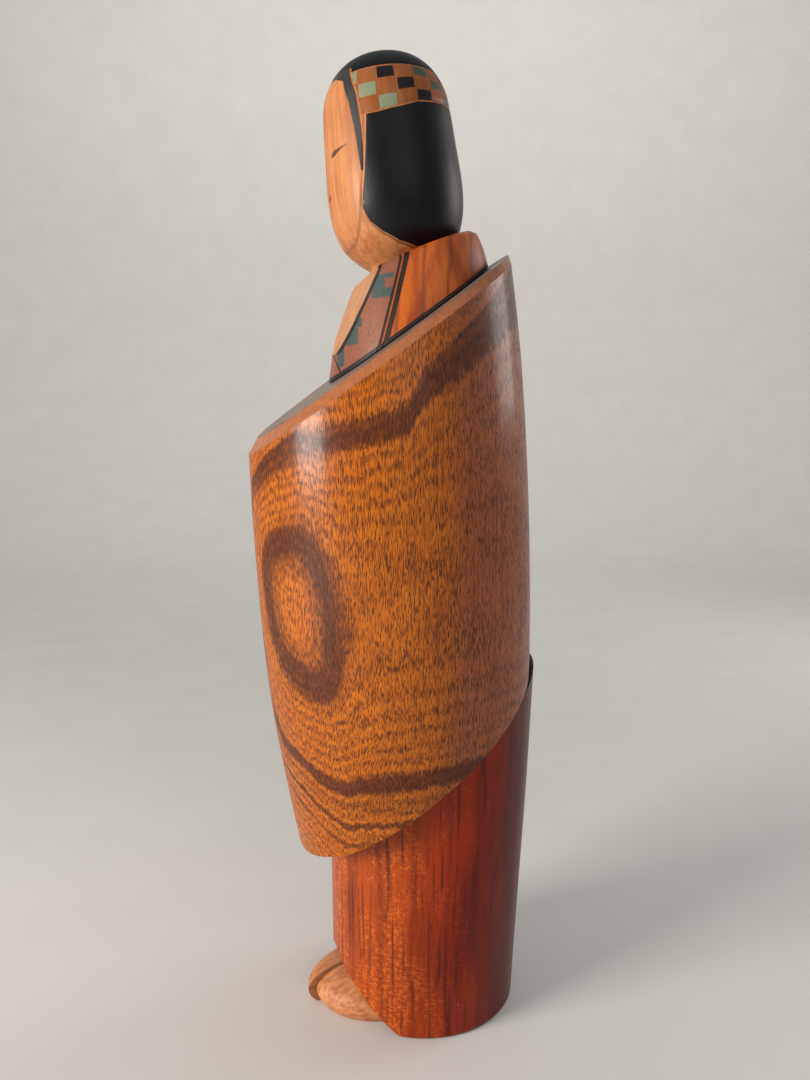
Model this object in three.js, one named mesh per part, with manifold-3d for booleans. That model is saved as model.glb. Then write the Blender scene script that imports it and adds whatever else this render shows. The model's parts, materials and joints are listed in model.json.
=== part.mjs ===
// Wooden kokeshi doll: a woman in a kimono with a shawl, standing with her feet together.
//
// Frame: millimetres, +Z up, origin on the skirt's underside, below the middle of the torso, on the
// surface that the doll stands on. She faces -Y, and her left side is +X.
//
// Every block is turned about an axis that leans a little, then sawn off on the slant and glued to the
// next one. A slanted face is written as { z, slope }: its height is z + slope * y. The head alone is
// not glued: its tenon turns in the kimono block.

import * as THREE from 'three';
import { mergeVertices } from 'three/addons/utils/BufferGeometryUtils.js';
import Module from 'manifold-3d';

const wasm = await Module();
wasm.setup();

// Shared sizes
const SEGMENTS = 48;
const ROWS = 9;
const GLUE_GAP = 0.3;
const REACH = 400;

// Skirt: nearly straight, leaning back a little as it rises
const SKIRT = {
  stations: [[0, 29.4], [20, 30.1], [42, 31], [66, 32], [110, 33.2]],
  axisY: 1.8,
  lean: 0.028,
  lip: 1.2,
};
const UNDERSIDE = { z: 0, slope: 0 };
const TOP_EDGE = { drop: 0.6, width: 0.6, backWidth: 0.6 };

// Tent-shaped parting of the hem over the feet
const PARTING = { halfWidth: 26, height: 18.3, waistX: 17.4, waistZ: 10.4, backY: -12 };

// Shawl: a barrel that leans forward as it rises, sawn off on two slants
const SHAWL = {
  stations: [[45, 33.4], [70, 37.4], [100, 41.2], [140, 43.1], [180, 43.3], [210, 42.3], [240, 40]],
  axisY: -1.25,
  lean: -0.0484,
  lip: 0.5,
};
const SHAWL_HEM = { z: 82, slope: 0.77 };
const SHAWL_TOP = { z: 218, slope: 0.75 };
const RIM_BEVEL = { drop: 3.2, width: 3, backWidth: 0.5 };

// The shawl's left end lies over its right end, with a rounded lower corner
const OVERLAP = { thickness: 0.8, edgeX: 5, hemZ: 58.2, cornerRadius: 9 };

// Kimono: shoulders and collar, with a slanted neckline
const KIMONO = {
  stations: [[194, 28.6], [214, 25.8], [230, 22.9], [239, 20.6], [247, 16.8]],
  axisY: 0,
  lean: 0,
  lip: 0.3,
};
const NECKLINE = { z: 237.4, slope: 0.44 };
const COLLAR_BEVEL = { drop: 1.4, width: 1.2, backWidth: 1.2 };

// Flat facet sawn across the front of the collar, leaning back as it rises
const FACET = { footY: -26.9, footZ: 206, slope: 0.42 };

// Head: turned about its own axis, which leans forward from the base of the neck
const NECK_BASE = new THREE.Vector3(0, -4.5, 232);
const HEAD_LEAN = THREE.MathUtils.degToRad(7);
const HEAD_OUTLINE = [
  [10.2, 0], [10.9, 2], [14.2, 4.7], [17.2, 7.8], [19, 11.2], [20.5, 17], [20.9, 25],
  [20.2, 36], [19.6, 45], [18.6, 51.6], [15.2, 57.8], [9.4, 62], [0, 63.8],
];
const TENON = { radius: 7.5, length: 9 };
const HEAD_CLEARANCE = 0.6;
const SOCKET_DEPTH = 9.8;

// Feet: two halves of a low dome, the right one a little further forward
const FOOT = { halfWidth: 18.5, widestZ: 4.2, crown: 8.8, heelY: -12.3, split: 0.25 };
const LEFT_FOOT_LENGTH = 21.8;
const RIGHT_FOOT_LENGTH = 24.2;

// Hidden dowels across the two slanted glue joints
const SHOULDER_DOWEL = { y: 14.5, radius: 3, from: 218, to: 238.5 };
const WAIST_DOWEL = { y: 2, radius: 6, from: 66, to: 102 };
const DOWEL_SIDES = 24;

// Woods and paint, as plain base colours
const WOODS = {
  cherry: { color: 0xd79a62, roughness: 0.45 },
  zelkova: { color: 0xb5682c, roughness: 0.38 },
  shawlZelkova: { color: 0xa9652f, roughness: 0.35 },
  redStained: { color: 0x8c3a17, roughness: 0.3 },
  pale: { color: 0xd2a077, roughness: 0.55 },
  dowel: { color: 0xcbb089, roughness: 0.7 },
};

function heightOf(face, y) {
  return face.z + face.slope * y;
}

function radiusCurve(stations) {
  const heights = stations.map((station) => station[0]);
  const radii = stations.map((station) => station[1]);
  const curve = new THREE.CubicInterpolant(heights, radii, 1);
  return (z) => curve.evaluate(THREE.MathUtils.clamp(z, heights[0], heights.at(-1)))[0];
}

// A solid from a closed geometry, and a geometry from a solid
function toSolid(geometry) {
  geometry.deleteAttribute('normal');
  geometry.deleteAttribute('uv');
  const merged = mergeVertices(geometry, 1e-3);
  return new wasm.Manifold(
    new wasm.Mesh({
      numProp: 3,
      vertProperties: new Float32Array(merged.attributes.position.array),
      triVerts: new Uint32Array(merged.index.array),
    }),
  );
}

function toGeometry(solid) {
  const mesh = solid.getMesh();
  const geometry = new THREE.BufferGeometry();
  geometry.setAttribute('position', new THREE.BufferAttribute(mesh.vertProperties, 3));
  geometry.setIndex(new THREE.BufferAttribute(mesh.triVerts, 1));
  geometry.computeVertexNormals();
  return geometry;
}

// How far a ring stands in from the turned surface: from inset in front to backInset behind
function insetAt(ring, angle) {
  const back = (1 - Math.cos(angle)) / 2;
  return THREE.MathUtils.lerp(ring.inset, ring.backInset ?? ring.inset, back);
}

// A turned block between two slanted faces. Each ring follows the slant at its share of the height,
// with its radius and centre taken from the turning at the height that each point ends up at.
function slantedBlock(turning, bottom, top, bevel, shiftY = 0) {
  const radiusAt = radiusCurve(turning.stations);
  const rings = [
    { share: 0, onAxis: true },
    { share: 0, inset: turning.lip, lift: 0 },
    { share: 0, inset: 0, lift: turning.lip },
  ];
  for (let row = 1; row < ROWS; row++) {
    rings.push({ share: row / ROWS, inset: 0, lift: 0 });
  }
  rings.push({ share: 1, inset: 0, lift: -bevel.drop });
  rings.push({ share: 1, inset: bevel.width, backInset: bevel.backWidth, lift: 0 });
  rings.push({ share: 1, onAxis: true });

  const outline = rings.map((ring, index) => new THREE.Vector2(ring.onAxis ? 0 : 1, index));
  const geometry = new THREE.LatheGeometry(outline, SEGMENTS);
  const position = geometry.attributes.position;
  for (let i = 0; i < position.count; i++) {
    const ring = rings[i % rings.length];
    const angle = Math.atan2(position.getX(i), position.getZ(i));
    let y = turning.axisY;
    let z = heightOf(bottom, y);
    let radius = 0;
    for (let pass = 0; pass < 20; pass++) {
      z = THREE.MathUtils.lerp(heightOf(bottom, y), heightOf(top, y), ring.share) + (ring.lift ?? 0);
      radius = ring.onAxis ? 0 : radiusAt(z) - insetAt(ring, angle);
      y = turning.axisY + turning.lean * z + shiftY - radius * Math.cos(angle);
    }
    position.setXYZ(i, radius * Math.sin(angle), y, z);
  }
  return toSolid(geometry);
}

// A turned piece on the head's leaning axis, from an outline of [radius, distance along the axis]
function onHeadAxis(outline) {
  const points = outline.map(([radius, along]) => new THREE.Vector2(radius, along));
  const geometry = new THREE.LatheGeometry(points, SEGMENTS);
  geometry.rotateX(Math.PI / 2 + HEAD_LEAN);
  geometry.translate(NECK_BASE.x, NECK_BASE.y, NECK_BASE.z);
  return toSolid(geometry);
}

// A flat outline in X and Z, carried through from frontY to backY
function throughBlock(shape, frontY, backY) {
  const geometry = new THREE.ExtrudeGeometry(shape, {
    depth: backY - frontY,
    bevelEnabled: false,
    curveSegments: 10,
  });
  geometry.rotateX(Math.PI / 2);
  geometry.translate(0, backY, 0);
  return toSolid(geometry);
}

function dowel({ y, radius, from, to }, clearance = 0) {
  const length = to - from + 2 * clearance;
  const geometry = new THREE.CylinderGeometry(radius + clearance, radius + clearance, length, DOWEL_SIDES);
  geometry.rotateX(Math.PI / 2);
  geometry.translate(0, y, (from + to) / 2);
  return toSolid(geometry);
}

function part(name, solid, wood) {
  const material = new THREE.MeshStandardMaterial({ ...wood, metalness: 0 });
  const mesh = new THREE.Mesh(toGeometry(solid), material);
  mesh.name = name;
  return mesh;
}

function raised(face, by) {
  return { z: face.z + by, slope: face.slope };
}

function skirt() {
  const block = slantedBlock(SKIRT, UNDERSIDE, raised(SHAWL_HEM, -GLUE_GAP), TOP_EDGE);
  const tent = new THREE.Shape();
  tent.moveTo(-PARTING.halfWidth, -1);
  tent.lineTo(PARTING.halfWidth, -1);
  tent.quadraticCurveTo(PARTING.waistX, PARTING.waistZ, 4, PARTING.height - 1.5);
  tent.quadraticCurveTo(0, PARTING.height + 1, -4, PARTING.height - 1.5);
  tent.quadraticCurveTo(-PARTING.waistX, PARTING.waistZ, -PARTING.halfWidth, -1);
  return block
    .subtract(throughBlock(tent, -REACH, PARTING.backY))
    .subtract(dowel(WAIST_DOWEL, GLUE_GAP));
}

function shawl() {
  const under = slantedBlock(SHAWL, SHAWL_HEM, SHAWL_TOP, RIM_BEVEL);
  const over = slantedBlock(SHAWL, SHAWL_HEM, SHAWL_TOP, RIM_BEVEL, -OVERLAP.thickness);
  const { edgeX, hemZ, cornerRadius } = OVERLAP;
  const leftEnd = new THREE.Shape();
  leftEnd.moveTo(REACH, hemZ);
  leftEnd.lineTo(REACH, REACH);
  leftEnd.lineTo(edgeX, REACH);
  leftEnd.lineTo(edgeX, hemZ + cornerRadius);
  leftEnd.absarc(edgeX + cornerRadius, hemZ + cornerRadius, cornerRadius, Math.PI, 1.5 * Math.PI);
  return under
    .add(over.intersect(throughBlock(leftEnd, -REACH, SHAWL.axisY)))
    .subtract(dowel(WAIST_DOWEL, GLUE_GAP))
    .subtract(dowel(SHOULDER_DOWEL, GLUE_GAP));
}

// Everything in front of the collar's facet
function facetCut() {
  const block = new THREE.BoxGeometry(REACH, REACH, REACH);
  block.translate(0, -REACH / 2, 0);
  block.rotateX(-Math.atan(FACET.slope));
  block.translate(0, FACET.footY, FACET.footZ);
  return toSolid(block);
}

function kimono() {
  const block = slantedBlock(KIMONO, raised(SHAWL_TOP, GLUE_GAP), NECKLINE, COLLAR_BEVEL);
  const hollow = HEAD_OUTLINE.slice(0, 7).map(([radius, along]) => [radius + HEAD_CLEARANCE, along]);
  const socketRadius = TENON.radius + GLUE_GAP;
  const socket = onHeadAxis([
    [0, -SOCKET_DEPTH],
    [socketRadius, -SOCKET_DEPTH],
    [socketRadius, -GLUE_GAP],
    [hollow[0][0], -GLUE_GAP],
    ...hollow,
    [hollow.at(-1)[0], REACH],
    [0, REACH],
  ]);
  return block.subtract(facetCut()).subtract(socket).subtract(dowel(SHOULDER_DOWEL, GLUE_GAP));
}

function head() {
  const turned = new THREE.SplineCurve(HEAD_OUTLINE.map(([radius, along]) => new THREE.Vector2(radius, along)));
  const outline = turned.getPoints(2 * (HEAD_OUTLINE.length - 1)).map((point) => [point.x, point.y]);
  return onHeadAxis([[0, -TENON.length], [TENON.radius, -TENON.length], [TENON.radius, 0], ...outline]);
}

// side is +1 for the left foot and -1 for the right
function foot(side, length) {
  const dome = new THREE.SphereGeometry(1, 40, 20);
  dome.scale(FOOT.halfWidth, length, FOOT.crown);
  dome.translate(0, FOOT.heelY, FOOT.widestZ);
  const quarter = new THREE.BoxGeometry(REACH, REACH, REACH);
  quarter.translate(side * (REACH / 2 + FOOT.split), FOOT.heelY - REACH / 2, REACH / 2);
  return toSolid(dome).intersect(toSolid(quarter));
}

const doll = new THREE.Group();
doll.add(
  part('head', head(), WOODS.cherry),
  part('kimono_torso', kimono(), WOODS.zelkova),
  part('shawl', shawl(), WOODS.shawlZelkova),
  part('skirt', skirt(), WOODS.redStained),
  part('left_foot', foot(1, LEFT_FOOT_LENGTH), WOODS.pale),
  part('right_foot', foot(-1, RIGHT_FOOT_LENGTH), WOODS.pale),
  part('shoulder_dowel', dowel(SHOULDER_DOWEL), WOODS.dowel),
  part('waist_dowel', dowel(WAIST_DOWEL), WOODS.dowel),
);

export default doll;
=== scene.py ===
import json
import math

import bmesh
import bpy
from mathutils import Euler, Matrix, Vector


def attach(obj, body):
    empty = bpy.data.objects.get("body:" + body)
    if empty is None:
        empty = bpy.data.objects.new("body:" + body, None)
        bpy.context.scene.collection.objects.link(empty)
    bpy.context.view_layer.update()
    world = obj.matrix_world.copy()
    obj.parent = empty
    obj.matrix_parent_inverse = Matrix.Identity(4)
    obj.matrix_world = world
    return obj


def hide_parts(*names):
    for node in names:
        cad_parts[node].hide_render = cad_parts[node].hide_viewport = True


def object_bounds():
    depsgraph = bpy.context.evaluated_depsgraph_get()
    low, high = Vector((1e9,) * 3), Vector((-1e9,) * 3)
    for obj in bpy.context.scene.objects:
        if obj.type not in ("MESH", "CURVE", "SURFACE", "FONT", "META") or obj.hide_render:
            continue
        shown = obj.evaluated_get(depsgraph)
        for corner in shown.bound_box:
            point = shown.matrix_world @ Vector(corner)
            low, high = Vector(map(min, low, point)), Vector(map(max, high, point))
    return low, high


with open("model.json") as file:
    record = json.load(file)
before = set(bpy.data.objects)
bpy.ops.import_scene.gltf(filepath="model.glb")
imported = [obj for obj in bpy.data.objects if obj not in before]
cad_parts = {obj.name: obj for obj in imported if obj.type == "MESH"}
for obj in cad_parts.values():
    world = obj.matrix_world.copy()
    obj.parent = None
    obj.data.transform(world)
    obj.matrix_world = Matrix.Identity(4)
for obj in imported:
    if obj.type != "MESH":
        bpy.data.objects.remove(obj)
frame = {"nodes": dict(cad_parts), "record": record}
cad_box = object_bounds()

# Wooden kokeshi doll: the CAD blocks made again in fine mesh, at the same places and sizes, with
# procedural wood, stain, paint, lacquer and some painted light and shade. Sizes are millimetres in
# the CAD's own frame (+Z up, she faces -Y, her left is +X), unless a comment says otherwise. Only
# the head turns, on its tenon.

MM = 0.001

# A cutter's far end, past every block
REACH = 200.0

# Fineness of the meshes
SEGMENTS = 192
HEAD_SEGMENTS = 360
FLOOR_SEGMENTS = 96
LIP_STEPS = 4
CORNER_STEPS = 12
OUTLINE_STEPS = 16
BEND_STEPS = 16
FOOT_SPHERE = (120, 60)

# Rounds of fitting a point to the profile, the leaning axis and the slanted cut together
PASSES = 8

# Turned profiles: stations are (height, radius), the axis is y = axis + lean * height
SKIRT = {
    "stations": [(0, 29.4), (20, 30.1), (42, 31), (66, 32), (110, 33.2)],
    "axis": 1.8,
    "lean": 0.028,
    "lip": 1.2,
    "rows": 40,
}
SHAWL = {
    "stations": [(45, 33.4), (70, 37.4), (100, 41.2), (140, 43.1), (180, 43.3), (210, 42.3), (240, 40)],
    "axis": -1.25,
    "lean": -0.0484,
    "lip": 0.5,
    "rows": 40,
}
KIMONO = {
    "stations": [(194, 28.6), (214, 25.8), (230, 22.9), (239, 20.6), (247, 16.8)],
    "axis": 0.0,
    "lean": 0.0,
    "lip": 0.3,
    "rows": 7,
}

# Slanted saw cuts, as (height on the axis, slope towards the back)
UNDERSIDE = (0.0, 0.0)
SHAWL_HEM = (82.0, 0.77)
SHAWL_TOP = (218.0, 0.75)
NECKLINE = (237.4, 0.44)
GLUE_GAP = 0.3

# Edge chamfers, as (drop, width in front, width behind)
SKIRT_CHAMFER = (0.6, 0.6, 0.6)
RIM_CHAMFER = (3.2, 3.0, 0.5)
COLLAR_CHAMFER = (1.4, 1.2, 1.2)

# Flat facet across the front of the collar: where it meets the front, and how it leans back
FACET = {"foot_y": -26.9, "foot_z": 206.0, "slope": 0.42}

# Tent-shaped parting of the hem: each side is a curve from the start to the tip, drawn in by the
# waist, and a curve drawn up by the peak joins the tips
PARTING = {
    "half_width": 26.0,
    "start_z": -1.0,
    "waist_x": 17.4,
    "waist_z": 10.4,
    "tip_x": 4.0,
    "tip_z": 16.8,
    "peak_z": 19.3,
    "back_y": -12.0,
}

# The shawl's left end lies over its right end, with a round lower corner
OVERLAP = {"thickness": 0.8, "edge_x": 5.0, "hem_z": 58.2, "corner": 9.0}

FOOT = {"half_width": 18.5, "widest_z": 4.2, "crown": 8.8, "heel_y": -12.3, "split": 0.25}
FOOT_LENGTHS = {"left_foot": 21.8, "right_foot": 24.2}

# The head in its own frame, with its origin at the neck: (radius, height up the leaning axis)
HEAD_OUTLINE = [
    (10.2, 0), (10.9, 2), (14.2, 4.7), (17.2, 7.8), (19, 11.2), (20.5, 17), (20.9, 25),
    (20.2, 36), (19.6, 45), (18.6, 51.6), (15.2, 57.8), (9.4, 62), (0, 63.8),
]
TENON = {"radius": 7.5, "length": 9.0}
SOCKET = {"radius": 8.0, "depth": 9.8, "cutter_top": 60.0}
HEAD_CLEARANCE = 0.6

# The head's lines as (height, degrees round from the middle of the face)
FACE_EDGE = [
    (24, 45.7), (33.7, 43.4), (39.5, 41.6), (45.9, 38.6), (52.7, 32.3), (54.8, 19.2), (56, 0), (57, -20),
]
FRONT_HAIR_BACK = [
    (24, 46), (26.4, 47.1), (32.5, 48.8), (38.9, 48.9), (47.5, 46.7), (56.2, 37.8), (58, 34),
]
SIDE_HAIR_FRONT = [
    (13, 41), (16.1, 42.2), (18.9, 44), (25.5, 48.3), (32.3, 51), (40.4, 53.8), (46, 54),
]
JAW_SIDE = [(7.3, 5), (7.8, 20), (9.4, 28), (11.2, 33.2), (15.2, 39.5), (24, 46)]

# The head's lines as (degrees, height)
SIDE_HAIR_LOW = [
    (40, 18), (42, 16), (43.5, 14.2), (46.3, 11.8), (55.3, 8.9), (69.7, 6.2), (89, 4.5), (180, 4.2),
]
BAND_LOW = [(40, 41.2), (66, 41.3), (82.9, 42.1), (99.5, 43.5), (143, 45.1), (180, 45.4)]
JAW_UNDER = [(0, 7.3), (20, 7.8), (28, 9.4), (33.2, 11.2), (39.5, 15.2), (42, 17.5)]

# The checked band: rows of cells, each CELL_WIDTH degrees wide
BAND_TOP = 54.3
BAND_ROWS = 3
CELL_START = 48.5
CELL_WIDTH = 17.0

# Length on the head of one degree round it
DEGREE_LENGTH = 0.34

# Carved lines of the head, as (half width, depth), and the part of the head that has them
PANEL_GROOVE = (0.5, 0.32)
BAND_GROOVE = (0.45, 0.25)
CELL_GROOVE = (0.4, 0.12)
CARVED = {"low": 2.0, "high": 60.0, "from_degrees": 30.0}

# Painted face: the lid as (degrees, half thickness), and ellipses for the mouth and the bare nape
LID = [(10, 0), (13, 0.75), (17, 0.95), (24, 0.5), (34, 0.12), (36, 0)]
EYE = {"inner_degrees": 10.0, "height": 33.7, "rise": 0.045}
MOUTH = {"height": 22.7, "half_height": 0.8, "half_degrees": 4.5}
NAPE = {"height": 30.0, "half_height": 9.0, "half_degrees": 30.0}

# Front hair starts at a height on the temples and at another over the forehead
TEMPLE_HAIR_LOW = 26.0
FOREHEAD_HAIR_LOW = 56.6

# The lapel lies in front of the plane y = slope * z + offset
LAPEL_PLANE = {"slope": 0.262, "offset": -71.3}

# Teal marks on each lapel, as (x, z, half width, half height)
TEAL_MARKS = [
    (16.5, 223.3, 1.7, 3.6), (18.6, 221.2, 1.4, 1.4), (18.2, 226.2, 1.0, 0.8),
    (10.6, 209.6, 2.6, 2.6), (12.2, 213.4, 1.6, 1.5), (6.2, 204.2, 2.2, 3.4),
]

# The shawl's grain is an eye of rings. Its middle is turned this many degrees from her front to her
# left, and places round the shawl are lengths of arc from there, at this radius.
RINGS = {"height": 131.0, "turn": 33.0, "arc_radius": 41.5, "roundness": 2.8}
SHAWL_MIDDLE_Z = 150.0

# Ring number at each arc length, with 0 in the middle of the eye
RINGS_ROUND = [
    (-131, 15), (-90, 7.5), (-60, 4.2), (-45, 3.0), (-28, 2.0), (-14, 1.0), (0, 0),
    (14, 1.0), (20, 1.1), (50, 1.15), (131, 1.3),
]

# Ring number along the dark bands above and below the eye, and their heights at each arc length
BAND_RING = 2.0
HIGH_BAND = [
    (-40, 166), (-20, 168), (-4, 175), (4, 180), (26, 184), (33, 187), (37, 196),
    (41, 200.5), (53, 211), (64, 221), (73, 227), (90, 236),
]
LOW_BAND = [(-40, 92), (-17, 87), (-4, 85), (4, 82), (15, 78), (37, 79), (55, 81), (90, 82)]

# Dark bands as (ring number, half width, strength): all round the eye, and only below it
DARK_BANDS = [(0.83, 0.21, 1.0), (0.64, 0.2, 0.45), (1.98, 0.09, 1.0)]
LOW_DARK_BANDS = [(2.2, 0.05, 0.3), (2.42, 0.035, 0.75), (2.62, 0.03, 0.55)]

# Camera: azimuth and downward pitch in degrees, place in metres, lens in millimetres
CAMERA_AZIMUTH = 72.0
CAMERA_PITCH = 3.93
CAMERA_PLACE = (0.24667, -0.08432, 0.166)
LENS = 27.03
SENSOR_WIDTH = 36.0

# Floor: radius of the flat, radius of the bend and height of the wall, in metres
FLOOR = {"flat": 1.4, "bend": 0.8, "wall_top": 2.6}


# ---------------------------------------------------------------- shapes

def turned_radius(stations, z):
    """Radius at height z, on a smooth curve through the stations."""
    z = min(max(z, stations[0][0]), stations[-1][0])
    slopes = [(b[1] - a[1]) / (b[0] - a[0]) for a, b in zip(stations, stations[1:])]
    index = 0
    while index < len(slopes) - 1 and z > stations[index + 1][0]:
        index += 1
    (z0, r0), (z1, r1) = stations[index], stations[index + 1]
    before = slopes[max(index - 1, 0)]
    after = slopes[min(index + 1, len(slopes) - 1)]
    m0 = (before + slopes[index]) / 2 * (z1 - z0)
    m1 = (slopes[index] + after) / 2 * (z1 - z0)
    t = (z - z0) / (z1 - z0)
    return (
        (2 * t**3 - 3 * t**2 + 1) * r0
        + (t**3 - 2 * t**2 + t) * m0
        + (-2 * t**3 + 3 * t**2) * r1
        + (t**3 - t**2) * m1
    )


def line_at(points, value):
    """Straight-line reading of a table of (position, value) points."""
    if value <= points[0][0]:
        return points[0][1]
    for (a, at_a), (b, at_b) in zip(points, points[1:]):
        if value <= b:
            return at_a + (at_b - at_a) * (value - a) / (b - a)
    return points[-1][1]


def smooth_outline(points, steps):
    """Points along a smooth curve through an outline whose last point lies on the axis."""
    crown = (-points[-2][0], points[-2][1])
    padded = [points[0], *points, crown]
    curve = []
    for i in range(1, len(padded) - 2):
        p0, p1, p2, p3 = (Vector(p) for p in padded[i - 1:i + 3])
        for step in range(steps):
            t = step / steps
            curve.append(
                0.5 * (2 * p1 + (p2 - p0) * t + (2 * p0 - 5 * p1 + 4 * p2 - p3) * t**2
                       + (3 * p1 - p0 - 3 * p2 + p3) * t**3)
            )
    curve.append(Vector(points[-1]))
    return [tuple(point) for point in curve]


def quarter_turn(steps):
    """Angles from 0 to a right angle."""
    return [math.pi / 2 * step / steps for step in range(steps + 1)]


def piece_from(build, name):
    """A new object from a bmesh, with its faces turned outwards."""
    bmesh.ops.recalc_face_normals(build, faces=build.faces)
    mesh = bpy.data.meshes.new(name)
    build.to_mesh(mesh)
    build.free()
    obj = bpy.data.objects.new(name, mesh)
    bpy.context.scene.collection.objects.link(obj)
    return obj


def skin(name, rings, low_pole, high_pole):
    """A closed mesh from rings of points, with a point at each end. The top point comes last."""
    build = bmesh.new()
    loops = [[build.verts.new(Vector(p) * MM) for p in ring] for ring in rings]
    low = build.verts.new(Vector(low_pole) * MM)
    high = build.verts.new(Vector(high_pole) * MM)
    count = len(rings[0])
    for i in range(count):
        j = (i + 1) % count
        build.faces.new((low, loops[0][j], loops[0][i]))
        for below, above in zip(loops, loops[1:]):
            build.faces.new((below[i], below[j], above[j], above[i]))
        build.faces.new((loops[-1][i], loops[-1][j], high))
    return piece_from(build, name)


def slanted_block(name, turning, bottom, top, chamfer, shift=0.0):
    """A turned block between two slanted cuts, with a rounded lip below and a chamfer above."""
    drop, width, back_width = chamfer
    lip = turning["lip"]
    rows = turning["rows"]

    # Each stage is (share of the height, inset in front, inset behind, lift)
    stages = []
    for turn in quarter_turn(LIP_STEPS):
        inset = lip * (1 - math.sin(turn))
        stages.append((0.0, inset, inset, lip * (1 - math.cos(turn))))
    stages += [(row / rows, 0.0, 0.0, 0.0) for row in range(1, rows)]
    stages += [(1.0, 0.0, 0.0, -drop), (1.0, width, back_width, 0.0)]

    def height(share, y):
        low = bottom[0] + bottom[1] * y
        high = top[0] + top[1] * y
        return low + (high - low) * share

    rings = []
    for share, inset, back_inset, lift in stages:
        ring = []
        for i in range(SEGMENTS):
            angle = 2 * math.pi * i / SEGMENTS
            behind = (1 - math.cos(angle)) / 2
            y = turning["axis"]
            for _ in range(PASSES):
                z = height(share, y) + lift
                radius = turned_radius(turning["stations"], z) - inset - (back_inset - inset) * behind
                y = turning["axis"] + turning["lean"] * z + shift - radius * math.cos(angle)
            ring.append((radius * math.sin(angle), y, z))
        rings.append(ring)
    middle = turning["axis"]
    return skin(name, rings, (0, middle, height(0, middle)), (0, middle, height(1, middle)))


def prism(name, outline, front_y, back_y):
    """A flat outline in X and Z, carried through from front_y to back_y."""
    build = bmesh.new()
    near = [build.verts.new((x * MM, front_y * MM, z * MM)) for x, z in outline]
    far = [build.verts.new((x * MM, back_y * MM, z * MM)) for x, z in outline]
    build.faces.new(near)
    build.faces.new(far[::-1])
    for i in range(len(outline)):
        j = (i + 1) % len(outline)
        build.faces.new((near[i], far[i], far[j], near[j]))
    return piece_from(build, name)


def saw_off(build, point, outward):
    """Cut away what lies past a plane, and close the sawn face."""
    geometry = build.verts[:] + build.edges[:] + build.faces[:]
    bmesh.ops.bisect_plane(build, geom=geometry, plane_co=point, plane_no=outward, clear_outer=True)
    bmesh.ops.edgeloop_fill(build, edges=[edge for edge in build.edges if edge.is_boundary])


def bake_modifiers(obj):
    """Keep what the modifiers make as the piece's own mesh."""
    bpy.context.view_layer.update()
    depsgraph = bpy.context.evaluated_depsgraph_get()
    made = bpy.data.meshes.new_from_object(obj.evaluated_get(depsgraph))
    obj.modifiers.clear()
    obj.data = made


def combine(obj, tool, operation):
    """Cut, join or intersect with a tool piece, which is then thrown away."""
    cut = obj.modifiers.new(operation.lower(), "BOOLEAN")
    cut.operation = operation
    cut.solver = "EXACT"
    cut.object = tool
    bake_modifiers(obj)
    bpy.data.objects.remove(tool)


def shade(obj, sharp_degrees):
    """Smooth shading, but for edges that turn more than this."""
    obj.data.shade_smooth()
    obj.data.set_sharp_from_angle(angle=math.radians(sharp_degrees))


def soften(obj, width, corner_degrees):
    """Round the sawn edges a little and shade the rest smooth."""
    bevel = obj.modifiers.new("soft_edges", "BEVEL")
    bevel.limit_method = "ANGLE"
    bevel.angle_limit = math.radians(corner_degrees)
    bevel.width = width * MM
    bevel.segments = 3
    bake_modifiers(obj)
    shade(obj, sharp_degrees=40)
    normals = obj.modifiers.new("even_shading", "WEIGHTED_NORMAL")
    normals.keep_sharp = True
    bake_modifiers(obj)


def raised(cut, by):
    """The same slanted cut, moved up."""
    return (cut[0] + by, cut[1])


def quadratic(start, control, end, steps):
    """Points on a quadratic curve, without its first point."""
    points = []
    for step in range(1, steps + 1):
        t = step / steps
        points.append(tuple(
            (1 - t)**2 * a + 2 * t * (1 - t) * b + t**2 * c for a, b, c in zip(start, control, end)
        ))
    return points


def make_skirt():
    """The lower block, with the parting of the hem cut into its front."""
    skirt = slanted_block("skirt_block", SKIRT, UNDERSIDE, raised(SHAWL_HEM, -GLUE_GAP), SKIRT_CHAMFER)
    start = (PARTING["half_width"], PARTING["start_z"])
    waist = (PARTING["waist_x"], PARTING["waist_z"])
    tip = (PARTING["tip_x"], PARTING["tip_z"])
    peak = (0.0, PARTING["peak_z"])
    her_left = [start] + quadratic(start, waist, tip, 2 * CORNER_STEPS)
    crown = quadratic(tip, peak, (-tip[0], tip[1]), CORNER_STEPS)
    her_right = [(-x, z) for x, z in reversed(her_left[:-1])]
    tent = prism("tent", her_left + crown + her_right, -REACH, PARTING["back_y"])
    combine(skirt, tent, "DIFFERENCE")
    soften(skirt, width=0.35, corner_degrees=30)
    return skirt


def make_shawl():
    """The barrel block, with its left end standing a little proud of its right end."""
    shawl = slanted_block("shawl_block", SHAWL, SHAWL_HEM, SHAWL_TOP, RIM_CHAMFER)
    over = slanted_block("over", SHAWL, SHAWL_HEM, SHAWL_TOP, RIM_CHAMFER, -OVERLAP["thickness"])
    edge, hem, corner = OVERLAP["edge_x"], OVERLAP["hem_z"], OVERLAP["corner"]
    arc = [
        (edge + corner * (1 - math.cos(turn)), hem + corner * (1 - math.sin(turn)))
        for turn in quarter_turn(CORNER_STEPS)
    ]
    outline = [(REACH, 2 * REACH), (edge, 2 * REACH), *arc, (REACH, hem)]
    combine(over, prism("left_end", outline, -REACH, SHAWL["axis"]), "INTERSECT")
    combine(shawl, over, "UNION")
    soften(shawl, width=0.45, corner_degrees=24)
    return shawl


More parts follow.
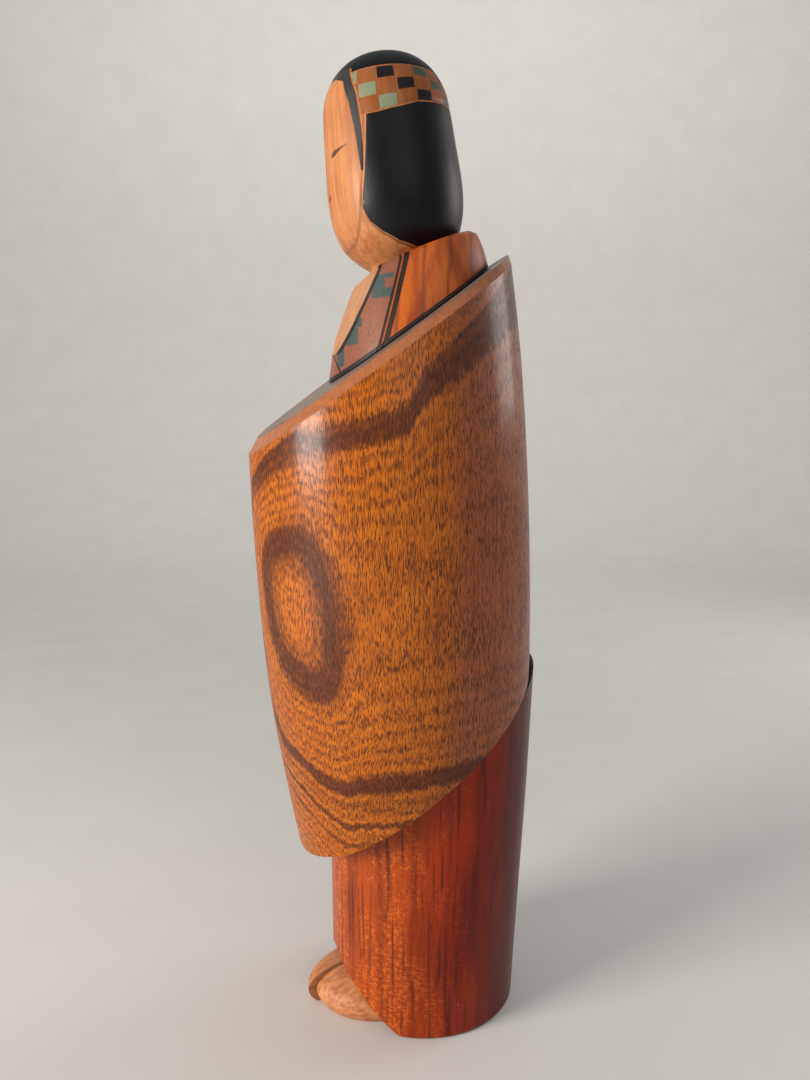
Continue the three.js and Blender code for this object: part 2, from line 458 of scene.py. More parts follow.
def saw_facet(obj):
    """Saw off what lies in front of the collar's facet."""
    build = bmesh.new()
    build.from_mesh(obj.data)
    point = Vector((0, FACET["foot_y"], FACET["foot_z"])) * MM
    saw_off(build, point, Vector((0, -1, FACET["slope"])))
    bmesh.ops.recalc_face_normals(build, faces=build.faces)
    build.to_mesh(obj.data)
    build.free()


def make_kimono():
    """Shoulders and collar, hollowed to the head's own outline with a socket for its tenon."""
    kimono = slanted_block("kimono_block", KIMONO, raised(SHAWL_TOP, GLUE_GAP), NECKLINE, COLLAR_CHAMFER)
    saw_facet(kimono)
    widest = HEAD_OUTLINE.index(max(HEAD_OUTLINE))
    bowl = [(radius + HEAD_CLEARANCE, along) for radius, along in HEAD_OUTLINE[:widest + 1]]
    hollow = [
        (SOCKET["radius"], -SOCKET["depth"]),
        (SOCKET["radius"], -GLUE_GAP),
        (bowl[0][0], -GLUE_GAP),
        *bowl,
        (bowl[-1][0], SOCKET["cutter_top"]),
    ]
    combine(kimono, turned_on_head_axis("bowl", hollow, SEGMENTS), "DIFFERENCE")
    soften(kimono, width=0.3, corner_degrees=28)
    return kimono


def turned_on_head_axis(name, outline, segments, carve=None):
    """A turned piece in the head's own frame: origin at the neck, Z up the leaning axis."""
    rings = []
    for radius, along in outline:
        ring = []
        for i in range(segments):
            angle = 2 * math.pi * i / segments
            depth = carve(angle, along) if carve else 0.0
            carved_radius = radius - depth
            ring.append((carved_radius * math.sin(angle), -carved_radius * math.cos(angle), along))
        rings.append(ring)
    obj = skin(name, rings, (0, 0, outline[0][1]), (0, 0, outline[-1][1]))
    obj.matrix_world = head_place
    return obj


def side_hair_depth(degrees, along):
    """How far inside the black side panel a point is, in millimetres."""
    return min(
        (degrees - line_at(SIDE_HAIR_FRONT, along)) * DEGREE_LENGTH,
        along - line_at(SIDE_HAIR_LOW, degrees),
        line_at(BAND_LOW, degrees) - along,
    )


def groove_depth(distance, groove):
    """Depth of a round-bottomed carved line, this far from its middle."""
    half_width, depth = groove
    return depth * max(0.0, 1 - (distance / half_width)**2)


def carved(angle, along):
    """Depth of the carved lines of the hair and its band."""
    degrees = abs((math.degrees(angle) + 180) % 360 - 180)
    if not CARVED["low"] <= along <= CARVED["high"] or degrees < CARVED["from_degrees"]:
        return 0.0
    panel_line = side_hair_depth(degrees, along) + 0.45
    depth = groove_depth(panel_line, PANEL_GROOVE)
    behind_front_hair = degrees > line_at(FRONT_HAIR_BACK, along) + 2
    if behind_front_hair:
        depth = max(depth, groove_depth(along - BAND_TOP, BAND_GROOVE))
    if behind_front_hair and line_at(BAND_LOW, degrees) < along < BAND_TOP:
        column = ((degrees - CELL_START) / CELL_WIDTH + 0.5) % 1 - 0.5
        row_height = (BAND_TOP - line_at(BAND_LOW, degrees)) / BAND_ROWS
        row = ((BAND_TOP - along) / row_height + 0.5) % 1 - 0.5
        to_cell_edge = min(abs(column) * CELL_WIDTH * DEGREE_LENGTH, abs(row) * row_height)
        depth = max(depth, groove_depth(to_cell_edge, CELL_GROOVE))
    return depth


def make_head():
    """The head with its tenon, its crown closed by the top point."""
    outline = smooth_outline(HEAD_OUTLINE, OUTLINE_STEPS)[:-1]
    body = [(TENON["radius"], -TENON["length"]), (TENON["radius"], -0.01), *outline]
    body = [(radius, along) for radius, along in body if radius > 0.3]
    head = turned_on_head_axis("head_block", body, HEAD_SEGMENTS, carved)
    head.data.vertices[len(head.data.vertices) - 1].co.z = HEAD_OUTLINE[-1][1] * MM
    shade(head, sharp_degrees=50)
    return head


def make_foot(name, side):
    """Half of a low dome, cut flat at the floor, at the heel and between the feet."""
    build = bmesh.new()
    across, up = FOOT_SPHERE
    bmesh.ops.create_uvsphere(build, u_segments=across, v_segments=up, radius=MM)
    size = Vector((FOOT["half_width"], FOOT_LENGTHS[name], FOOT["crown"]))
    for vert in build.verts:
        vert.co = vert.co * size + Vector((0, FOOT["heel_y"], FOOT["widest_z"])) * MM
    saw_off(build, (0, 0, 0), (0, 0, -1))
    saw_off(build, (0, FOOT["heel_y"] * MM, 0), (0, 1, 0))
    saw_off(build, (side * FOOT["split"] * MM, 0, 0), (-side, 0, 0))
    foot = piece_from(build, name + "_block")
    soften(foot, width=0.35, corner_degrees=35)
    return foot


# ---------------------------------------------------------------- material nodes

def srgb(red, green, blue):
    """A screen colour as the linear colour that shaders take."""
    def linear(value):
        value = value / 255
        return value / 12.92 if value <= 0.04045 else ((value + 0.055) / 1.055)**2.4
    return (linear(red), linear(green), linear(blue), 1.0)


class Field:
    """A number that varies over a surface, so that node maths can be written as sums."""

    def __init__(self, graph, socket):
        self.graph = graph
        self.socket = socket

    def __add__(self, other):
        return self.graph.math("ADD", self, other)

    __radd__ = __add__

    def __sub__(self, other):
        return self.graph.math("SUBTRACT", self, other)

    def __rsub__(self, other):
        return self.graph.math("SUBTRACT", other, self)

    def __mul__(self, other):
        return self.graph.math("MULTIPLY", self, other)

    __rmul__ = __mul__

    def __truediv__(self, other):
        return self.graph.math("DIVIDE", self, other)

    def __pow__(self, other):
        return self.graph.math("POWER", self, other)

    def __abs__(self):
        return self.graph.math("ABSOLUTE", self)


class Graph:
    """A material whose Principled shader is fed by fields and colours."""

    def __init__(self, name):
        self.material = bpy.data.materials.new(name)
        self.material.use_nodes = True
        self.nodes = self.material.node_tree.nodes
        self.links = self.material.node_tree.links
        self.shader = self.nodes["Principled BSDF"]

    def put(self, socket, value):
        """Link a field to a socket, or set a plain value on it."""
        if isinstance(value, Field):
            self.links.new(value.socket, socket)
        else:
            socket.default_value = value

    def math(self, operation, *values):
        node = self.nodes.new("ShaderNodeMath")
        node.operation = operation
        for socket, value in zip(node.inputs, values):
            self.put(socket, value)
        return Field(self, node.outputs[0])

    def least(self, *fields):
        result = fields[0]
        for field in fields[1:]:
            result = self.math("MINIMUM", result, field)
        return result

    def most(self, *fields):
        result = fields[0]
        for field in fields[1:]:
            result = self.math("MAXIMUM", result, field)
        return result

    def millimetres(self):
        """The piece's own x, y and z, in millimetres."""
        place = self.nodes.new("ShaderNodeTexCoord")
        split = self.nodes.new("ShaderNodeSeparateXYZ")
        self.links.new(place.outputs["Object"], split.inputs[0])
        return [Field(self, output) * (1 / MM) for output in split.outputs]

    def step(self, field, low, high):
        """0 below low, 1 above high, smooth between."""
        node = self.nodes.new("ShaderNodeMapRange")
        node.interpolation_type = "SMOOTHSTEP"
        self.put(node.inputs["Value"], field)
        self.put(node.inputs["From Min"], low)
        self.put(node.inputs["From Max"], high)
        return Field(self, node.outputs["Result"])

    def line(self, field, half_width, softness=0.15):
        """1 where the field is within half_width of zero."""
        return 1 - self.step(abs(field), half_width - softness, half_width + softness)

    def curve(self, field, points):
        """A table of (position, value) points read with straight lines between them."""
        low, high = points[0][0], points[-1][0]
        bottom = min(value for _, value in points)
        top = max(value for _, value in points)
        node = self.nodes.new("ShaderNodeFloatCurve")
        line = node.mapping.curves[0]
        while len(line.points) < len(points):
            line.points.new(0.5, 0.5)
        for handle, (at, value) in zip(line.points, points):
            handle.location = ((at - low) / (high - low), (value - bottom) / (top - bottom))
            handle.handle_type = "VECTOR"
        node.mapping.update()
        share = (field - low) * (1 / (high - low))
        self.put(node.inputs["Value"], self.least(self.most(share, 0.0), 1.0))
        return Field(self, node.outputs[0]) * (top - bottom) + bottom

    def noise(self, place, detail=2.0, roughness=0.5):
        """Noise from 0 to 1, at (x, y, z) fields that are already divided by the size of a blotch."""
        join = self.nodes.new("ShaderNodeCombineXYZ")
        for socket, value in zip(join.inputs, place):
            self.put(socket, value)
        node = self.nodes.new("ShaderNodeTexNoise")
        node.inputs["Scale"].default_value = 1.0
        node.inputs["Detail"].default_value = detail
        node.inputs["Roughness"].default_value = roughness
        self.links.new(join.outputs[0], node.inputs["Vector"])
        return Field(self, node.outputs["Fac"])

    def ellipse(self, across, upward):
        """1 in the middle of an ellipse and 0 at its edge, from shares of its half sizes."""
        return 1.0 - (across**2.0 + upward**2.0)

    def mix(self, share, first, second):
        """A colour between two colours."""
        node = self.nodes.new("ShaderNodeMix")
        node.data_type = "RGBA"
        self.put(node.inputs[0], share)
        self.put(node.inputs[6], first)
        self.put(node.inputs[7], second)
        return Field(self, node.outputs[2])

    def finish(self, colour, roughness, height, depth, gloss=0.3, coat=0.0, coat_roughness=0.2):
        """Send colour, roughness and a relief of depth millimetres to the shader."""
        self.put(self.shader.inputs["Base Color"], colour)
        self.put(self.shader.inputs["Roughness"], roughness)
        self.shader.inputs["Specular IOR Level"].default_value = gloss
        self.shader.inputs["Coat Weight"].default_value = coat
        self.shader.inputs["Coat Roughness"].default_value = coat_roughness
        bump = self.nodes.new("ShaderNodeBump")
        bump.inputs["Strength"].default_value = 1.0
        bump.inputs["Distance"].default_value = depth * MM
        self.put(bump.inputs["Height"], height)
        self.links.new(bump.outputs[0], self.shader.inputs["Normal"])
        return self.material


def stretched(place, across, along):
    """Coordinates for noise whose blotches are this wide and this tall, in millimetres."""
    x, y, z = place
    return (x * (1 / across), y * (1 / across), z * (1 / along))


# ---------------------------------------------------------------- materials

def head_material():
    """Pale turned wood, black hair, a checked band and the face's few strokes."""
    g = Graph("painted_head")
    place = g.millimetres()
    x, y, z = place
    degrees = g.math("ARCTAN2", abs(x), y * -1.0) * (180 / math.pi)

    grain = g.noise(stretched(place, 1.6, 30.0), 4.0, 0.6)
    fleck = g.noise(stretched(place, 0.45, 2.4), 2.0)
    tone = g.noise(stretched(place, 14.0, 40.0), 2.0)
    wobble = (g.noise(stretched(place, 3.0, 3.0), 2.0) - 0.5) * 0.5
    wood = g.mix(g.step(grain, 0.35, 0.68), srgb(194, 126, 78), srgb(160, 94, 52))
    wood = g.mix(g.step(fleck, 0.5, 0.72) * 0.5, wood, srgb(158, 82, 42))
    wood = g.mix(g.step(tone, 0.45, 0.7) * 0.4, wood, srgb(210, 146, 96))

    # Distances inside the edges of each part of the hair, in millimetres
    front_back = g.curve(z, FRONT_HAIR_BACK)
    past_face = (degrees - g.curve(z, FACE_EDGE)) * DEGREE_LENGTH
    temple = g.least(past_face, (front_back - degrees) * DEGREE_LENGTH, z - TEMPLE_HAIR_LOW)
    forehead = g.least(past_face, z - FOREHEAD_HAIR_LOW)
    front_hair = g.step(g.most(temple, forehead) + wobble * 0.4, -0.1, 0.15)

    past_front_hair = (degrees - front_back) * DEGREE_LENGTH - 0.55
    over_all = g.step(z, 56.0, 57.5) * 8.0
    cap = g.step(g.least(z - BAND_TOP - 0.2, past_front_hair + over_all), -0.1, 0.1)

    side_front = (degrees - g.curve(z, SIDE_HAIR_FRONT)) * DEGREE_LENGTH
    side_low = z - g.curve(degrees, SIDE_HAIR_LOW)
    band_low = g.curve(degrees, BAND_LOW)
    side = g.least(side_front, side_low, band_low - z - 0.25)
    nape = g.step(g.ellipse(
        (180.0 - degrees) / NAPE["half_degrees"],
        abs(z - NAPE["height"]) / NAPE["half_height"],
    ), 0.0, 0.08)
    side_hair = g.step(side + wobble * 0.3, -0.1, 0.1) * (1 - nape)

    # Cells are numbered 0 to 3 over and over, one column further back in each lower row. Number 1 is
    # black and number 3 is green.
    column = (degrees - CELL_START) * (1 / CELL_WIDTH)
    row_height = (BAND_TOP - band_low) * (1 / BAND_ROWS)
    row = (BAND_TOP - z) / row_height
    cell = g.math("FLOORED_MODULO", g.math("FLOOR", column) - g.math("FLOOR", row), 4.0)
    in_band = g.step(g.least(z - band_low, BAND_TOP - z, past_front_hair), 0.0, 0.1)
    across = abs(g.math("FRACT", column + 0.5) - 0.5) * (CELL_WIDTH * DEGREE_LENGTH)
    upward = abs(g.math("FRACT", row + 0.5) - 0.5) * row_height
    inside_cell = g.step(g.least(across, upward) + wobble * 0.25, 0.22, 0.42)
    worn = g.step(g.noise(stretched(place, 0.8, 0.8), 3.0), 0.62, 0.75)
    black_cell = g.line(cell - 1.0, 0.5, 0.01) * in_band * inside_cell
    green_cell = g.line(cell - 3.0, 0.5, 0.01) * in_band * inside_cell
    green = g.mix(g.step(column, 1.9, 2.1), srgb(128, 142, 112), srgb(58, 82, 74))

    band_wood = g.mix(grain, srgb(150, 84, 38), srgb(122, 64, 30))
    slate = g.mix(grain, srgb(46, 54, 58), srgb(26, 30, 34))
    ink = g.mix(g.noise(stretched(place, 6.0, 14.0), 2.0), srgb(5, 6, 9), srgb(14, 15, 18))
    colour = g.mix(in_band * 0.8, wood, band_wood)
    colour = g.mix(black_cell * (1 - worn * 0.3), colour, srgb(22, 20, 20))
    colour = g.mix(green_cell * (0.9 - worn * 0.5), colour, green)
    colour = g.mix(front_hair * 0.96, colour, slate)
    colour = g.mix(g.most(cap, side_hair), colour, ink)

    # Painted shade in the carved line below the side hair, and a soft brown stroke painted along the jaw
    groove_shade = g.line(side + 0.5, 0.28) * g.step(g.least(degrees - 42.0, 18.0 - z), 0.0, 1.0)
    colour = g.mix(groove_shade * 0.75, colour, srgb(92, 60, 34))
    jaw_up = abs(z - g.curve(degrees, JAW_UNDER))
    jaw_across = abs(degrees - g.curve(z, JAW_SIDE))
    jaw = g.line(g.least(jaw_up, jaw_across * 0.3), 0.5, 0.2) * g.step(46.0 - degrees, 0.0, 3.0)
    colour = g.mix(jaw * g.step(24.0 - z, 0.0, 6.0) * 0.7, colour, srgb(138, 92, 58))

    lid_height = EYE["height"] + (degrees - EYE["inner_degrees"]) * EYE["rise"]
    eye = g.step(g.curve(degrees, LID) - abs(z - lid_height), -0.05, 0.2)
    colour = g.mix(eye * 0.85, colour, srgb(62, 42, 34))
    mouth = g.step(g.ellipse(
        degrees / MOUTH["half_degrees"],
        abs(z - MOUTH["height"]) / MOUTH["half_height"],
    ), 0.0, 0.4)
    colour = g.mix(mouth * 0.9, colour, srgb(128, 44, 36))

    painted = g.most(cap, side_hair, front_hair)
    roughness = 0.42 - painted * 0.02 + (grain - 0.5) * 0.12
    return g.finish(colour, roughness, grain * 0.5 + fleck * 0.3, depth=0.12, gloss=0.22)


def kimono_material():
    """Brown wood with painted shade towards her back, a mauve lapel, teal marks, a pale wedge at the
    throat, inked lines and a black band at its foot.
    """
    g = Graph("kimono_wood_and_paint")
    place = g.millimetres()
    x, y, z = place

    warp = g.noise(stretched(place, 9.0, 40.0), 2.0)
    layer = g.math("FRACT", (y * 0.8 + x * 0.25 + warp * 5.0) * 0.155)
    dark_line = g.line(layer - 0.5, 0.07, 0.06)
    pores = g.step(g.noise(stretched(place, 0.35, 1.8), 2.0), 0.6, 0.72)
    tone = g.noise(stretched(place, 5.0, 24.0), 3.0)
    wood = g.mix(g.step(tone, 0.35, 0.65), srgb(196, 96, 26), srgb(150, 62, 16))
    wood = g.mix(dark_line * 0.6, wood, srgb(104, 46, 22))
    wood = g.mix(pores * 0.45, wood, srgb(104, 46, 20))
    # Painted shade: the wood is darker towards her back, away from the light
    wood = g.mix(g.step(y, 8.0, 24.0) * 0.55, wood, srgb(116, 52, 32))

    # Distances behind the lapel's plane and behind the sawn facet
    behind_lapel = y - (z * LAPEL_PLANE["slope"] + LAPEL_PLANE["offset"])
    off_facet = y - ((z - FACET["foot_z"]) * FACET["slope"] + FACET["foot_y"])
    upper_part = g.step(z, FACET["foot_z"] - 1.5, FACET["foot_z"])
    throat = (1 - g.step(off_facet, 0.05, 0.2)) * upper_part
    on_lapel = (1 - throat) * g.step(behind_lapel * -1.0 - 0.5, -0.1, 0.15)
    mauve = g.mix(tone, srgb(146, 88, 64), srgb(118, 68, 50))
    mauve = g.mix(pores * 0.3, mauve, srgb(96, 56, 44))
    pale = g.mix(tone, srgb(206, 150, 98), srgb(178, 118, 72))
    colour = g.mix(throat * 0.8, wood, pale)
    colour = g.mix(on_lapel * 0.95, colour, mauve)

    brushed = (g.noise(stretched(place, 1.2, 1.2), 3.0) - 0.5) * 0.6
    marks = []
    for across, up, half_across, half_up in TEAL_MARKS:
        middle_x = across + (up - z) * 0.2
        inside = g.least(half_across - abs(abs(x) - middle_x), half_up - abs(z - up))
        marks.append(g.step(inside + brushed, -0.2, 0.3))
    colour = g.mix(g.most(*marks) * on_lapel * 0.85, colour, srgb(30, 74, 74))

    wide_line = g.line(behind_lapel - 0.5, 0.62)
    thin_line = g.line(behind_lapel + 0.9, 0.28)
    before_lapel = g.step(behind_lapel * -1.0, 0.0, 0.3)
    throat_line = g.line(off_facet - 0.45, 0.35, 0.12) * upper_part * before_lapel
    crossing = g.line(x * 0.8 + z - (FACET["foot_z"] - 0.5), 0.35) * g.step(FACET["foot_z"] - z, 0.0, 0.6)
    throat_line = g.most(throat_line, crossing * g.step(y * -1.0, 10.0, 12.0))
    lines = g.most(wide_line, thin_line, throat_line) * g.step(y * -1.0, -2.0, 0.0)
    # A black band round the foot of the kimono, just above the shawl's top
    foot_line = g.step(SHAWL_TOP[0] + 1.7 + y * SHAWL_TOP[1] - z, -0.15, 0.15)
    blackened = g.most(lines, foot_line)
    colour = g.mix(blackened * 0.97, colour, srgb(20, 16, 16))

    height = pores * -0.35 + tone * 0.3 - lines * 1.6
    roughness = 0.42 + blackened * 0.1 + (tone - 0.5) * 0.2
    return g.finish(colour, roughness, height, depth=0.2, gloss=0.3, coat=0.1, coat_roughness=0.25)


def shawl_material():
    """Zelkova with an eye of rings on her left, dark bands round it and straight grain behind."""
    g = Graph("shawl_zelkova")
    place = g.millimetres()
    x, y, z = place
    slow = g.noise(stretched(place, 16.0, 26.0), 3.0)
    fine = g.noise(stretched(place, 2.2, 3.2), 3.0, 0.6)
    wander = (slow - 0.5) * 6.0

    # Arc length round the shawl from the middle of the eye, positive round her left side to her back
    turn = math.radians(RINGS["turn"])
    from_axis = y - (SHAWL["axis"] + SHAWL["lean"] * SHAWL_MIDDLE_Z)
    sideways = x * math.cos(turn) + from_axis * math.sin(turn)
    outward = x * math.sin(turn) - from_axis * math.cos(turn)
    arc = g.math("ARCTAN2", sideways, outward) * RINGS["arc_radius"] + (slow - 0.5) * 5.0
    to_front = arc * -1.0

    # Ring number, from 0 in the middle of the eye, which leans forward at its top
    eye_lean = g.least(g.most((z - RINGS["height"]) * 0.15, -3.6), 3.6)
    high_band = g.curve(arc, HIGH_BAND)
    around = g.curve(arc + eye_lean, RINGS_ROUND)
    above = (z - RINGS["height"] + wander) / (high_band - RINGS["height"])
    below = (RINGS["height"] - z - wander) / (RINGS["height"] - g.curve(arc, LOW_BAND))
    upward = g.most(above, below) * BAND_RING
    power = RINGS["roundness"]
    ring = (around**power + upward**power)**(1 / power) + (fine - 0.5) * 0.13

    def dark_band(number, half_width, strength):
        return g.line(ring - number, half_width, half_width * 0.55) * strength

    under_eye = g.step(RINGS["height"] - 6.0 - z, 0.0, 10.0)
    bands = [dark_band(*band) for band in DARK_BANDS]
    bands += [dark_band(*band) * under_eye for band in LOW_DARK_BANDS]
    under_band = high_band - z - wander + (fine - 0.5) * 3.0
    smear = g.step(under_band, -0.6, 0.6) * (1 - g.step(under_band, 4.0, 9.0))
    bands.append(smear * g.step(arc, -30.0, -10.0) * 0.85)
    stripe = g.math("FRACT", ring * 1.35 + slow * 0.9 + fine * 0.3)
    her_right = g.step(to_front, 25.0, 35.0) * (1 - g.step(to_front, 85.0, 120.0))
    bands.append(g.line(stripe - 0.5, 0.13, 0.12) * g.step(ring, 2.7, 3.2) * her_right * 0.38)
    dark = g.most(*bands)

    ripple = g.math("SINE", ring * 50.0 + slow * 14.0) * 0.5 + 0.5
    dash = g.noise(stretched(place, 0.21, 2.3), 1.0, 0.4)
    density = 0.585 - ripple * 0.07 - dark * 0.08 + (slow - 0.5) * 0.1
    pores = g.step(dash - density, -0.015, 0.03)
    straight_grain = g.step(g.most(arc, to_front - 40.0), 18.0, 40.0)
    streak = g.step(g.noise(stretched(place, 0.8, 60.0), 2.0), 0.5, 0.66) * straight_grain
    hair_dash = g.step(g.noise(stretched(place, 0.25, 6.0), 1.0), 0.56, 0.64)

    golden = g.mix(slow, srgb(208, 116, 24), srgb(176, 86, 14))
    golden = g.mix(ripple * 0.3, golden, srgb(148, 66, 16))
    golden = g.mix(g.step(1.0 - ring, 0.05, 0.3) * 0.3, golden, srgb(206, 112, 36))
    pinkish = g.mix(fine, srgb(172, 98, 64), srgb(138, 72, 44))
    back = g.step(arc, 40.0, 52.0) + g.step(to_front, 62.0, 80.0)
    colour = g.mix(back * 0.85, golden, pinkish)
    colour = g.mix(dark * (0.55 + fine * 0.5), colour, srgb(76, 28, 15))
    colour = g.mix(streak * 0.4, colour, srgb(96, 48, 26))
    colour = g.mix(hair_dash * 0.4, colour, srgb(104, 50, 20))
    colour = g.mix(pores * 0.8, colour, srgb(66, 28, 10))

    # The rim's chamfer is paler wood, and the sawn top is painted as more of the kimono, its mauve greyed
    # by a painted reflection
    over_cut = z - (SHAWL_TOP[0] + SHAWL_TOP[1] * y)
    on_top = g.step(over_cut, -0.45, -0.15)
    on_rim = g.step(over_cut + 3.3 - g.step(y, -10.0, 30.0) * 0.5, -0.1, 0.2)
    rim_wood = g.mix(fine, srgb(190, 122, 84), srgb(158, 94, 62))
    rim_wood = g.mix(hair_dash * 0.3, rim_wood, srgb(110, 62, 40))
    blotch = g.step(g.noise(stretched(place, 5.0, 9.0), 3.0), 0.4, 0.6)
    # Mauve paint, with grey mixed in as a painted reflection
    paint_and_reflection = g.mix(blotch, srgb(112, 104, 94), srgb(140, 104, 88))
    lapel_line = g.line(abs(x) - 3.0 - (y + 30.0) * -0.55, 0.35)
    outer_line = g.line(abs(x) - 19.5, 0.35)
    blackened = g.most(lapel_line, outer_line) * on_top * g.step(y * -1.0, 14.0, 16.0)
    colour = g.mix(on_rim * 0.75, colour, rim_wood)
    colour = g.mix(on_top * 0.97, colour, paint_and_reflection)
    colour = g.mix(blackened, colour, srgb(26, 22, 22))

    height = pores * -0.6 + fine * 0.25 + ripple * 0.12
    roughness = 0.36 + (fine - 0.5) * 0.2 + pores * 0.15 + on_top * 0.15
    return g.finish(colour, roughness, height, depth=0.12, gloss=0.16, coat=0.28, coat_roughness=0.18)


def skirt_material():
    """Red-brown stain over streaked and curly wood, with painted light making it amber in front and
    painted shade making it nearly black behind.
    """
    g = Graph("skirt_stain_with_painted_light_and_shade")
    place = g.millimetres()
    x, y, z = place
    to_front = y * -1.0
    slow = g.noise(stretched(place, 12.0, 50.0), 3.0)
    streak = g.noise(stretched(place, 1.3, 34.0), 3.0, 0.55)
    layer = g.math("FRACT", (x * 0.35 + y * 0.9 + slow * 9.0) * 0.11)
    curl = g.noise((x * 0.7 + slow * 2.0, y * 0.7, z * 1.3 + slow * 5.0), 2.0, 0.5)
    # Painted light: the curly figure is pushed towards the lit front
    patch = g.noise(stretched(place, 9.0, 26.0), 2.0) + g.step(to_front, -2.0, 22.0) * 0.16
    figured = g.step(patch, 0.52, 0.68)
    pores = g.step(g.noise(stretched(place, 0.35, 3.2), 1.0), 0.62, 0.7)

    # Painted light: the front is painted amber, and its curly figure brighter
    lit_front = g.step(to_front, -6.0, 22.0)
    red = g.mix(g.step(slow, 0.35, 0.65), srgb(150, 38, 3), srgb(112, 18, 2))
    lit_amber = g.mix(slow, srgb(190, 86, 20), srgb(150, 54, 10))
    curls = g.step(curl, 0.42, 0.7) * figured * (lit_front * 0.55 + 0.1)
    colour = g.mix(lit_front * 0.75, red, lit_amber)
    colour = g.mix(curls, colour, srgb(222, 112, 34))
    colour = g.mix(g.line(layer - 0.5, 0.1, 0.1) * 0.4, colour, srgb(78, 14, 4))
    colour = g.mix(g.step(streak, 0.52, 0.68) * 0.65, colour, srgb(58, 10, 3))
    colour = g.mix(pores * 0.5, colour, srgb(50, 12, 8))
    # Painted shade: the back is painted nearly black
    colour = g.mix(g.step(y, 4.0, 26.0) * 0.75, colour, srgb(62, 7, 2))

    scuff_zone = g.step(24.0 - z, 0.0, 14.0) * g.step(x, 12.0, 20.0) * g.step(y, -8.0, 2.0)
    scuffs = g.step(g.noise((x * 0.9, y * 0.9, z * 0.7), 3.0, 0.7), 0.66, 0.7) * scuff_zone
    colour = g.mix(scuffs * 0.5, colour, srgb(196, 150, 120))
    sawn_top = g.step(z - (SHAWL_HEM[0] + SHAWL_HEM[1] * y) + 1.2, 0.0, 0.3)
    colour = g.mix(sawn_top, colour, srgb(16, 12, 12))

    height = curl * figured * 0.35 + streak * 0.25 - pores * 0.4
    roughness = 0.36 + (slow - 0.5) * 0.15 + scuffs * 0.3
    return g.finish(colour, roughness, height, depth=0.12, gloss=0.18, coat=0.14, coat_roughness=0.16)


def foot_material():
    """Pale wood with its grain along the foot, and painted shade between the feet."""
    g = Graph("pale_foot_wood")
    place = g.millimetres()
    x, y, z = place
    grain = g.noise((x * (1 / 1.2), y * (1 / 14.0), z * (1 / 1.2)), 3.0, 0.6)
    soft = g.noise(stretched(place, 6.0, 6.0), 2.0)
    colour = g.mix(g.step(grain, 0.36, 0.66), srgb(204, 134, 88), srgb(170, 100, 62))
    colour = g.mix(g.step(soft, 0.45, 0.65) * 0.4, colour, srgb(214, 150, 106))
    # Painted shade in the cleft between the feet
    colour = g.mix(g.step(1.6 - abs(x), 0.0, 1.2) * 0.45, colour, srgb(120, 76, 50))
    return g.finish(colour, 0.5 + (grain - 0.5) * 0.15, grain, depth=0.08, gloss=0.25)


def dowel_material():
    """Bare pale wood."""
    g = Graph("bare_dowel_wood")
    grain = g.noise(stretched(g.millimetres(), 0.8, 16.0), 3.0)
    colour = g.mix(g.step(grain, 0.35, 0.65), srgb(206, 180, 140), srgb(172, 142, 102))
    return g.finish(colour, 0.65 + (grain - 0.5) * 0.1, grain, depth=0.08)


def floor_material():
    """Nearly plain, pale and matt."""
    g = Graph("pale_floor")
    soft = g.noise(stretched(g.millimetres(), 60.0, 60.0), 3.0)
    colour = g.mix(soft, srgb(226, 224, 220), srgb(216, 213, 208))
    return g.finish(colour, 0.7 + (soft - 0.5) * 0.1, soft, depth=0.05)


# ---------------------------------------------------------------- the doll

def place_piece(obj, material, body, node):
    """Give a piece its finish and its body, and let it stand for its CAD node."""
    obj.data.materials.clear()
    obj.data.materials.append(material)
    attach(obj, body)
    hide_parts(node)


head_joint = frame["record"]["behaviour"]["joints"][0]
head_axis = Vector(head_joint["axis"])
head_lean = math.atan2(-head_axis.y, head_axis.z)
head_place = Matrix.Translation(Vector(head_joint["pos_m"])) @ Matrix.Rotation(head_lean, 4, "X")

place_piece(make_head(), head_material(), "head", "head")
place_piece(make_kimono(), kimono_material(), "figure", "kimono_torso")
place_piece(make_shawl(), shawl_material(), "figure", "shawl")
place_piece(make_skirt(), skirt_material(), "figure", "skirt")
foot_wood = foot_material()
place_piece(make_foot("left_foot", 1), foot_wood, "figure", "left_foot")
place_piece(make_foot("right_foot", -1), foot_wood, "figure", "right_foot")
bare_wood = dowel_material()
for node in ("shoulder_dowel", "waist_dowel"):
    hidden = frame["nodes"][node]
    hidden.data.materials.clear()
    hidden.data.materials.append(bare_wood)


# ---------------------------------------------------------------- floor, light and camera

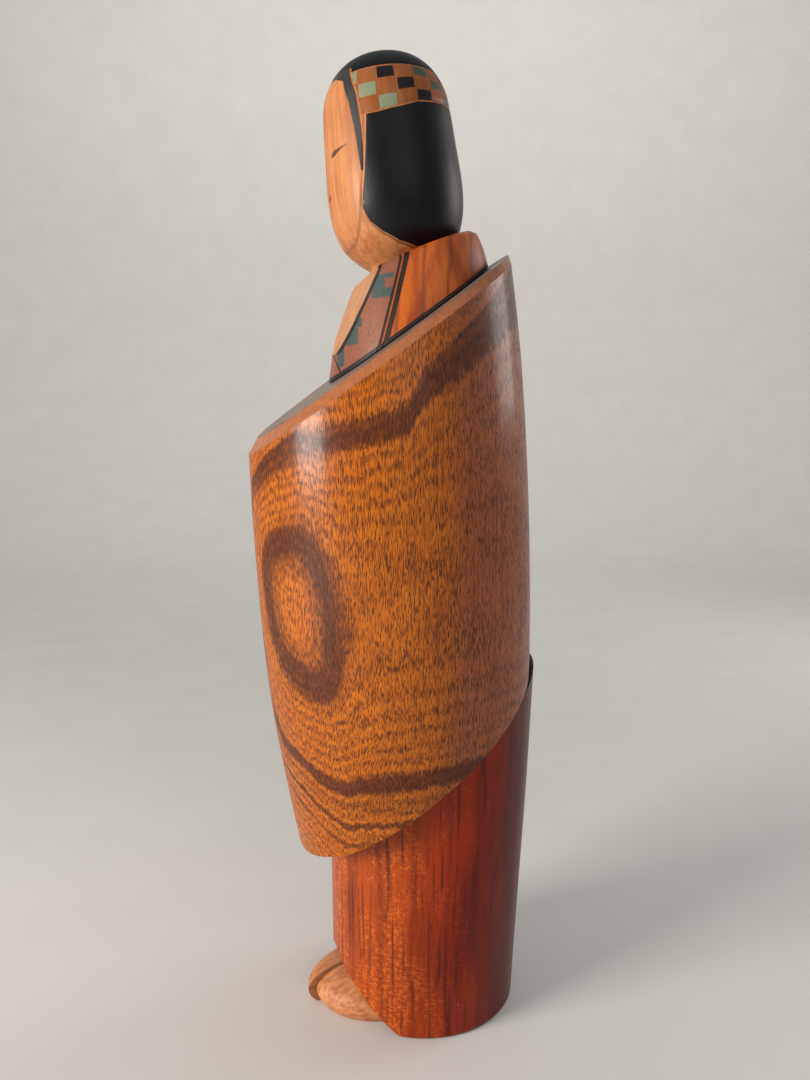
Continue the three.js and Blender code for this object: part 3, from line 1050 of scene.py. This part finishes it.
def make_floor():
    """A pale round floor that curves up into a low wall all the way round, made in metres."""
    flat, bend = FLOOR["flat"], FLOOR["bend"]

    # Rings of (radius, height), with close ones where the flat ends so that it shades flat
    profile = [(0.1, 0.0), (0.4, 0.0), (flat - 0.1, 0.0)]
    profile += [
        (flat + bend * math.sin(turn), bend * (1 - math.cos(turn)))
        for turn in quarter_turn(BEND_STEPS)
    ]
    profile.append((flat + bend, FLOOR["wall_top"]))
    around = [2 * math.pi * i / FLOOR_SEGMENTS for i in range(FLOOR_SEGMENTS)]
    build = bmesh.new()
    rings = [
        [build.verts.new((radius * math.cos(a), radius * math.sin(a), up)) for a in around]
        for radius, up in profile
    ]
    build.faces.new(rings[0])
    for low, high in zip(rings, rings[1:]):
        for i in range(FLOOR_SEGMENTS):
            j = (i + 1) % FLOOR_SEGMENTS
            build.faces.new((low[i], low[j], high[j], high[i]))
    floor = piece_from(build, "floor")
    floor.data.shade_smooth()
    floor.data.materials.append(floor_material())


def from_camera(towards_right, towards_camera, up):
    """A place given from the doll's middle by the camera's own directions, in metres."""
    turn = math.radians(CAMERA_AZIMUTH)
    right = Vector((math.cos(turn), math.sin(turn), 0))
    near = Vector((math.sin(turn), -math.cos(turn), 0))
    return middle + right * towards_right + near * towards_camera + Vector((0, 0, up))


def area_light(name, place, size, power, colour, aim=(0.0, 0.0, 0.0)):
    """A soft square light at one place, aimed at another."""
    data = bpy.data.lights.new(name, "AREA")
    data.size = size
    data.energy = power
    data.color = colour
    light = bpy.data.objects.new(name, data)
    light.location = from_camera(*place)
    light.rotation_euler = (from_camera(*aim) - light.location).to_track_quat("-Z", "Y").to_euler()
    bpy.context.scene.collection.objects.link(light)


middle = (cad_box[0] + cad_box[1]) / 2

make_floor()

# Each light's place, size in metres, power in watts and colour
area_light("key", (-0.75, 0.45, 0.16), 0.36, 9.0, (1.0, 0.97, 0.93))
area_light("fill", (0.3, 0.95, 0.5), 0.7, 1.6, (0.95, 0.97, 1.0))
area_light("rim", (0.8, -0.35, 0.35), 0.4, 2.1, (1.0, 0.96, 0.94))
area_light("wall_wash", (0.0, -0.9, 1.5), 1.2, 12.0, (1.0, 0.99, 0.97), aim=(0.0, -2.2, 1.0))

world = bpy.data.worlds.new("soft_room")
world.use_nodes = True
world.node_tree.nodes["Background"].inputs["Color"].default_value = (0.95, 0.97, 1.0, 1.0)
world.node_tree.nodes["Background"].inputs["Strength"].default_value = 0.38
bpy.context.scene.world = world

bpy.context.scene.view_settings.view_transform = "Standard"

camera_data = bpy.data.cameras.new("camera")
camera_data.lens = LENS
camera_data.sensor_width = SENSOR_WIDTH
camera_data.clip_start = 0.01
camera = bpy.data.objects.new("camera", camera_data)
camera.location = CAMERA_PLACE
camera.rotation_euler = Euler((math.radians(90 - CAMERA_PITCH), 0, math.radians(CAMERA_AZIMUTH)))
bpy.context.scene.collection.objects.link(camera)
bpy.context.scene.camera = camera
